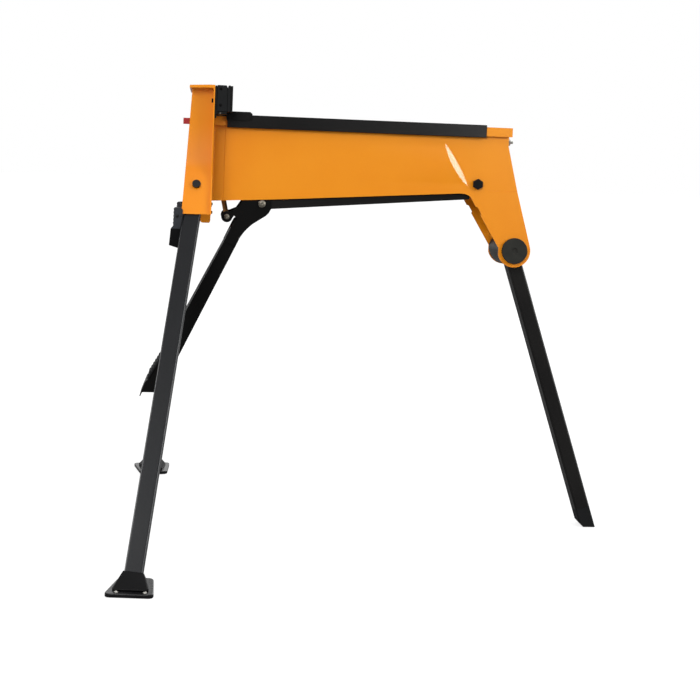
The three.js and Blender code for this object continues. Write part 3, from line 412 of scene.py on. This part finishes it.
for node, name in (("rear_cover_screw", "rearCoverScrew_near"),
                   ("rear_cover_screw_far", "rearCoverScrew_far"),
                   ("shell_spacer", "shellSpacer"), ("slide_bar", "slideBar"),
                   ("drive_crank", "driveCrank"), ("crank_pivot_pin", "crankPivotPin"),
                   ("crank_link_pin", "crankLinkPin"), ("pull_rod", "pullRod"),
                   ("rod_guide", "rodGuide"), ("switch_pin", "switchPin"),
                   ("rear_pivot_bolt", "rearPivotBolt")):
    dressNode(plain(node, name, zincSteel, edge=0.0005))
dressNode(plain("pull_link", "pullLink", yellowZinc, edge=0.0005))
dressNode(plain("return_spring", "returnSpring", zincSteel, edge=0.0, smooth=80))
dressNode(plain("pedal_tread", "pedalTread", padRubber, edge=0.0010, steps=3))
print("CAD pieces dressed")


# small fittings that the frame leaves to this script, each modelled once and copied
fittingSmooth = 35  # degrees
headShape = {  # shares of a head's radius, crown and drive
    "shoulderIn": 0.22, "shoulderUp": 0.6, "crownIn": 0.26, "crownUp": 0.4,
    "driveIn": 0.10, "driveTaper": 0.12, "drivePoint": 0.25,
}
quarterTurn = math.pi / 2
turnTo = {"up": (0, 0, 0), "near": (quarterTurn, 0, 0), "far": (-quarterTurn, 0, 0),
          "rear": (0, quarterTurn, 0)}


def facesUp(face):
    return face.normal.z > 0.9


def lift(height):
    bpy.ops.transform.translate(value=(0, 0, height))


def extrude(height):
    bpy.ops.mesh.extrude_region_move(TRANSFORM_OT_translate={"value": (0, 0, height)})


# head that stands on its seat and points up: a rim, a crown and, if wanted, a sunk drive
def makeHead(look):
    radius, crown, drive = look["radius"], look["crown"], look["drive"]
    bpy.ops.object.select_all(action="DESELECT")
    bpy.ops.mesh.primitive_cylinder_add(vertices=look["sides"], radius=radius, depth=look["rim"],
                                        location=(0, 0, look["rim"] / 2))
    head = bpy.context.object
    bpy.ops.object.transform_apply(location=True, rotation=True, scale=True)
    selectFaces(head, facesUp)
    bpy.ops.mesh.inset(thickness=radius * headShape["shoulderIn"])
    lift(crown * headShape["shoulderUp"])
    bpy.ops.mesh.inset(thickness=radius * headShape["crownIn"])
    lift(crown * headShape["crownUp"])
    if drive > 0:
        bpy.ops.mesh.inset(thickness=radius * headShape["driveIn"])
        extrude(-drive)
        bpy.ops.mesh.inset(thickness=radius * headShape["driveTaper"])
        lift(-drive * headShape["drivePoint"])
    bpy.ops.object.mode_set(mode="OBJECT")
    roundEdges(head, look["edge"], steps=2)
    return head


# block over or under the origin, left in edit mode with its top selected
def startBlock(size, middle):
    bpy.ops.object.select_all(action="DESELECT")
    bpy.ops.mesh.primitive_cube_add(size=1, location=(0, 0, middle))
    block = bpy.context.object
    block.scale = size
    bpy.ops.object.transform_apply(location=True, rotation=True, scale=True)
    selectFaces(block, facesUp)
    return block


def fitCopy(master, name, place, turn, look):
    piece = master.copy()
    piece.data = master.data.copy()
    piece.name = name
    bpy.context.scene.collection.objects.link(piece)
    piece.rotation_euler = turn
    piece.location = place
    pickOnly(piece)
    bpy.ops.object.transform_apply(location=True, rotation=True, scale=True)
    smoothFaces(piece, fittingSmooth)
    piece.data.materials.clear()
    piece.data.materials.append(look["finish"])
    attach(piece, nodeBody[look["on"]])
    return piece


def dropMaster(master):
    bpy.data.objects.remove(master, do_unlink=True)


sides = (("near", -1), ("far", 1))
padLow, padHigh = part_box("fixed_jaw_pad")
plateLow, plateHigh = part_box("fixed_jaw_plate")
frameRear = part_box("front_frame")[1][0]

# dark screws in the ends of the fixed pad
padScrewLook = {
    "radius": 0.0027, "rim": 0.0006, "crown": 0.0006, "drive": 0.0009, "sides": 20, "edge": 0.0002,
    "inFromBack": 0.0067, "downFromTop": 0.0070, "upFromFoot": 0.0120,
    "finish": pedalBlack, "on": "fixed_jaw_pad", "slot": "black_plastic",
}
master = makeHead(padScrewLook)
for side, way in sides:
    endFace = padLow[1] if way < 0 else padHigh[1]
    for row, height in (("upper", padHigh[2] - padScrewLook["downFromTop"]),
                        ("lower", padLow[2] + padScrewLook["upFromFoot"])):
        place = (padLow[0] + padScrewLook["inFromBack"], endFace, height)
        fitCopy(master, "padScrew_" + side + "_" + row, place, turnTo[side], padScrewLook)
dropMaster(master)

# bright screw in either end of the ledge under that pad
ledgeScrewLook = {
    "radius": 0.0017, "rim": 0.0007, "crown": 0.0009, "drive": 0.0, "sides": 18, "edge": 0.0002,
    "inFromBack": 0.0066, "height": 0.8185,
    "finish": dullSteel, "on": "fixed_jaw_plate", "slot": "zinc_steel",
}
master = makeHead(ledgeScrewLook)
for side, way in sides:
    endFace = plateLow[1] if way < 0 else plateHigh[1]
    place = (padLow[0] + ledgeScrewLook["inFromBack"], endFace, ledgeScrewLook["height"])
    fitCopy(master, "ledgeScrew_" + side, place, turnTo[side], ledgeScrewLook)
dropMaster(master)

# dark screws on the rear of the frame's rim
rimScrewLook = {
    "radius": 0.0029, "rim": 0.0012, "crown": 0.0010, "drive": 0.0008, "sides": 20, "edge": 0.0002,
    "places": (("upper", 0.1385, 0.6470), ("lower", 0.1460, 0.6315)),  # row, out, height
    "finish": pedalBlack, "on": "front_frame", "slot": "black_paint",
}
master = makeHead(rimScrewLook)
for side, way in sides:
    for row, out, height in rimScrewLook["places"]:
        place = (frameRear, way * out, height)
        fitCopy(master, "rimScrew_" + side + "_" + row, place, turnTo["rear"], rimScrewLook)
dropMaster(master)

# rivets on the outer flange of the feet, which stand turned a little
footRivetLook = {
    "radius": 0.0036, "rim": 0.0008, "crown": 0.0014, "drive": 0.0, "sides": 24, "edge": 0.0003,
    "footMiddle": (-0.44116, 0.42830), "footTurn": 5.5, "out": 0.0360,
    "places": (("front", -0.022), ("rear", 0.026)),
    "finish": zincSteel, "slot": "zinc_steel",
}
master = makeHead(footRivetLook)
middle, out = footRivetLook["footMiddle"], footRivetLook["out"]
footTurn = math.radians(footRivetLook["footTurn"])
turnCos, turnSin = math.cos(footTurn), math.sin(footTurn)
for side, way in sides:
    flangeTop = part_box("foot_plate_" + side)[1][2]
    rivetLook = dict(footRivetLook, on="foot_plate_" + side)
    for end, back in footRivetLook["places"]:
        place = (middle[0] + back * turnCos - out * turnSin,
                 way * (middle[1] + back * turnSin + out * turnCos), flangeTop)
        fitCopy(master, "footRivet_" + side + "_" + end, place, turnTo["up"], rivetLook)
dropMaster(master)

# crowned ends of the pedal's two bolts
boltEndLooks = [
    {"on": "pedal_pivot_bolt", "name": "pivotBoltEnd", "radius": 0.0068, "rim": 0.0006,
     "crown": 0.0016, "drive": 0.0014, "sides": 28, "edge": 0.0002, "finish": dullSteel,
     "slot": "zinc_steel"},
    {"on": "link_bolt", "name": "linkBoltEnd", "radius": 0.0050, "rim": 0.0005,
     "crown": 0.0013, "drive": 0.0011, "sides": 24, "edge": 0.0002, "finish": dullSteel,
     "slot": "zinc_steel"},
]
for look in boltEndLooks:
    low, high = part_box(look["on"])
    master = makeHead(look)
    for side, way in sides:
        endFace = low[1] if way < 0 else high[1]
        place = ((low[0] + high[0]) / 2, endFace, (low[2] + high[2]) / 2)
        fitCopy(master, look["name"] + "_" + side, place, turnTo[side], look)
    dropMaster(master)

# black plug in the small slot of either side wall: a tongue with a flange on the wall's face; its
# black is painted shade, standing in for the shade inside the slot
slotShadePlugLook = {
    "wide": 0.0030, "tall": 0.0078, "deep": 0.0026, "flange": 0.0005, "flangeDeep": 0.0009,
    "edge": 0.0002, "fromRear": 0.0044, "height": 0.8430, "wall": 0.0920,
    "finish": bootPlastic, "on": "front_frame", "slot": "black_plastic",
}
plugSize = (slotShadePlugLook["wide"], slotShadePlugLook["tall"], slotShadePlugLook["deep"])
master = startBlock(plugSize, -slotShadePlugLook["deep"] / 2)
bpy.ops.mesh.inset(thickness=slotShadePlugLook["flange"], use_outset=True)
bpy.ops.mesh.select_all(action="DESELECT")
bpy.ops.object.mode_set(mode="OBJECT")
selectFaces(master, facesUp)
extrude(slotShadePlugLook["flangeDeep"])
bpy.ops.object.mode_set(mode="OBJECT")
roundEdges(master, slotShadePlugLook["edge"], steps=2)
for side, way in sides:
    place = (frameRear - slotShadePlugLook["fromRear"], way * slotShadePlugLook["wall"],
             slotShadePlugLook["height"])
    fitCopy(master, "slotPlug_" + side, place, turnTo[side], slotShadePlugLook)
dropMaster(master)

# grip ribs across the pedal's tread: a bar with a narrowed, rounded top
treadRibLook = {
    "count": 7, "long": 0.0860, "wide": 0.0032, "tall": 0.0011, "inset": 0.0007,
    "edge": 0.0004, "edgeFrom": 10, "margin": 0.0080, "lift": 0.0032, "slope": 60.3,
    "lower": (-0.44061, 0, 0.2928), "upper": (-0.41125, 0, 0.3443),  # ends of the tread
    "finish": padRubber, "on": "pedal_tread", "slot": "jaw_rubber",
}
ribSize = (treadRibLook["wide"], treadRibLook["long"], treadRibLook["tall"])
master = startBlock(ribSize, treadRibLook["tall"] / 2)
bpy.ops.mesh.inset(thickness=treadRibLook["inset"])
lift(treadRibLook["inset"] / 2)
bpy.ops.object.mode_set(mode="OBJECT")
roundEdges(master, treadRibLook["edge"], steps=2, start=treadRibLook["edgeFrom"])
slope = math.radians(treadRibLook["slope"])
outward = Vector((-math.sin(slope), 0, math.cos(slope)))
lower, upper = Vector(treadRibLook["lower"]), Vector(treadRibLook["upper"])
start = treadRibLook["margin"] / (upper - lower).length
for rib in range(treadRibLook["count"]):
    share = start + (1 - 2 * start) * rib / (treadRibLook["count"] - 1)
    place = lower.lerp(upper, share) + outward * treadRibLook["lift"]
    fitCopy(master, "treadRib_" + str(rib + 1), place, (0, -slope, 0), treadRibLook)
dropMaster(master)
print("small fittings made")


# stage and light
white = (1.0, 1.0, 1.0, 1.0)
floorLook = {
    "size": 60.0, "height": -0.0005, "low": shade(138, 138, 138), "high": shade(142, 142, 142),
    "driftScale": 0.8, "rough": 0.9, "gloss": 0.1, "glow": 0.80,
}
bpy.ops.object.select_all(action="DESELECT")
bpy.ops.mesh.primitive_plane_add(size=floorLook["size"], location=(0, 0, floorLook["height"]))
floor = bpy.context.object
floor.name = "studioFloor"
finish, nodes, links, shader, where = startFinish("paleFloor")
drift = noiseOf(nodes, links, where, floorLook["driftScale"])
links.new(toneOf(nodes, links, drift, floorLook), shader.inputs["Base Color"])
shader.inputs["Roughness"].default_value = floorLook["rough"]
shader.inputs["Specular IOR Level"].default_value = floorLook["gloss"]
# the floor is pale to the eye but sends little light back up
seen = nodes.new("ShaderNodeLightPath").outputs["Is Camera Ray"]
paleGlow = mathOf(nodes, links, "MULTIPLY", seen, floorLook["glow"])
shader.inputs["Emission Color"].default_value = white
links.new(paleGlow, shader.inputs["Emission Strength"])
floor.data.materials.append(finish)

# the room is brighter behind and above than in front, more so in reflections,
# and plain white where the camera sees it
roomLook = {"front": 0.20, "back": 0.52, "lift": 0.14, "gloss": 2.2, "seen": 1.0}
world = bpy.data.worlds.new("studioWorld")
bpy.context.scene.world = world
world.use_nodes = True
nodes, links = world.node_tree.nodes, world.node_tree.links
direction = nodes.new("ShaderNodeSeparateXYZ")
links.new(nodes.new("ShaderNodeTexCoord").outputs["Generated"], direction.inputs["Vector"])
depth, height = direction.outputs["Y"], direction.outputs["Z"]
depthGlow = rangeOf(nodes, links, depth, roomLook["front"], roomLook["back"], (-1.0, 1.0))
roomGlow = mathOf(nodes, links, "MULTIPLY_ADD", height, roomLook["lift"], depthGlow)
backGlow = rangeOf(nodes, links, depth, 1.0, roomLook["gloss"], (0.0, 1.0))
glossGlow = mathOf(nodes, links, "MULTIPLY", roomGlow, backGlow)
ray = nodes.new("ShaderNodeLightPath")
rayGlow = nodes.new("ShaderNodeMix")
links.new(ray.outputs["Is Glossy Ray"], rayGlow.inputs["Factor"])
links.new(roomGlow, rayGlow.inputs["A"])
links.new(glossGlow, rayGlow.inputs["B"])
seenGlow = nodes.new("ShaderNodeMix")
seenGlow.inputs["B"].default_value = roomLook["seen"]
links.new(ray.outputs["Is Camera Ray"], seenGlow.inputs["Factor"])
links.new(rayGlow.outputs["Result"], seenGlow.inputs["A"])
nodes["Background"].inputs["Color"].default_value = white
links.new(seenGlow.outputs["Result"], nodes["Background"].inputs["Strength"])


def addPanel(look):
    bpy.ops.object.light_add(type="AREA", location=look["place"])
    lamp = bpy.context.object
    lamp.name = look["name"]
    lamp.data.shape = "RECTANGLE"
    lamp.data.size = look["wide"]
    lamp.data.size_y = look["tall"]
    lamp.data.energy = look["power"]
    ahead = Vector(look["aim"]) - Vector(look["place"])
    lamp.rotation_euler = ahead.to_track_quat("-Z", "Y").to_euler()
    lamp.visible_camera = False
    return lamp


softBoxes = [
    {"name": "keyBox", "place": (-1.6, -4.2, 2.3), "aim": (0.0, 0.0, 0.6),
     "wide": 2.0, "tall": 2.0, "power": 105},
    {"name": "rightBox", "place": (3.0, -2.4, 1.8), "aim": (0.3, 0.0, 0.7),
     "wide": 1.6, "tall": 1.6, "power": 50},
    {"name": "backBox", "place": (1.4, 4.0, 2.2), "aim": (0.0, 0.0, 0.6),
     "wide": 2.0, "tall": 2.0, "power": 70},
]
for look in softBoxes:
    addPanel(look)

# panels that only glint, each on a few pieces: the pressed crease, the slide's rear end
# and the legs' rounded edges
shells = ("bodyShell_near", "bodyShell_far")
legs = ("frontLeg_near", "frontLeg_far", "rearLegTube")
glintLooks = [
    {"name": "creaseGlint", "place": (1.97, -2.31, 1.48), "aim": (0.153, -0.05, 0.74),
     "wide": 0.8, "tall": 1.0, "power": 130, "on": shells},
    {"name": "rightGlint", "place": (2.8, -0.9, 0.9), "aim": (0.2, -0.9, 0.7),
     "wide": 2.4, "tall": 1.6, "power": 170, "on": legs},
    {"name": "slideGlint", "place": (1.4, -3.4, 0.9), "aim": (0.2, 0.0, 0.8),
     "wide": 1.0, "tall": 1.0, "power": 45, "on": ("slideChannel",)},
    {"name": "leftGlint", "place": (-3.0, -0.6, 0.8), "aim": (-0.3, -0.6, 0.5),
     "wide": 2.4, "tall": 1.6, "power": 170, "on": legs},
]
for look in glintLooks:
    lamp = addPanel(look)
    lamp.visible_diffuse = False
    reach = bpy.data.collections.new(look["name"] + "Reach")
    for name in look["on"]:
        reach.objects.link(bpy.data.objects[name])
    lamp.light_linking.receiver_collection = reach

# wide soft light from above, its angles in degrees
skyLook = {"place": (0, 0, 5), "power": 1.25, "spread": 80, "lean": 8, "turn": 10}
bpy.ops.object.light_add(type="SUN", location=skyLook["place"])
sky = bpy.context.object
sky.name = "skyPanel"
sky.data.energy = skyLook["power"]
sky.data.angle = math.radians(skyLook["spread"])
sky.rotation_euler = (math.radians(skyLook["lean"]), math.radians(skyLook["turn"]), 0)
bpy.context.scene.view_settings.view_transform = "Standard"
print("stage lit")
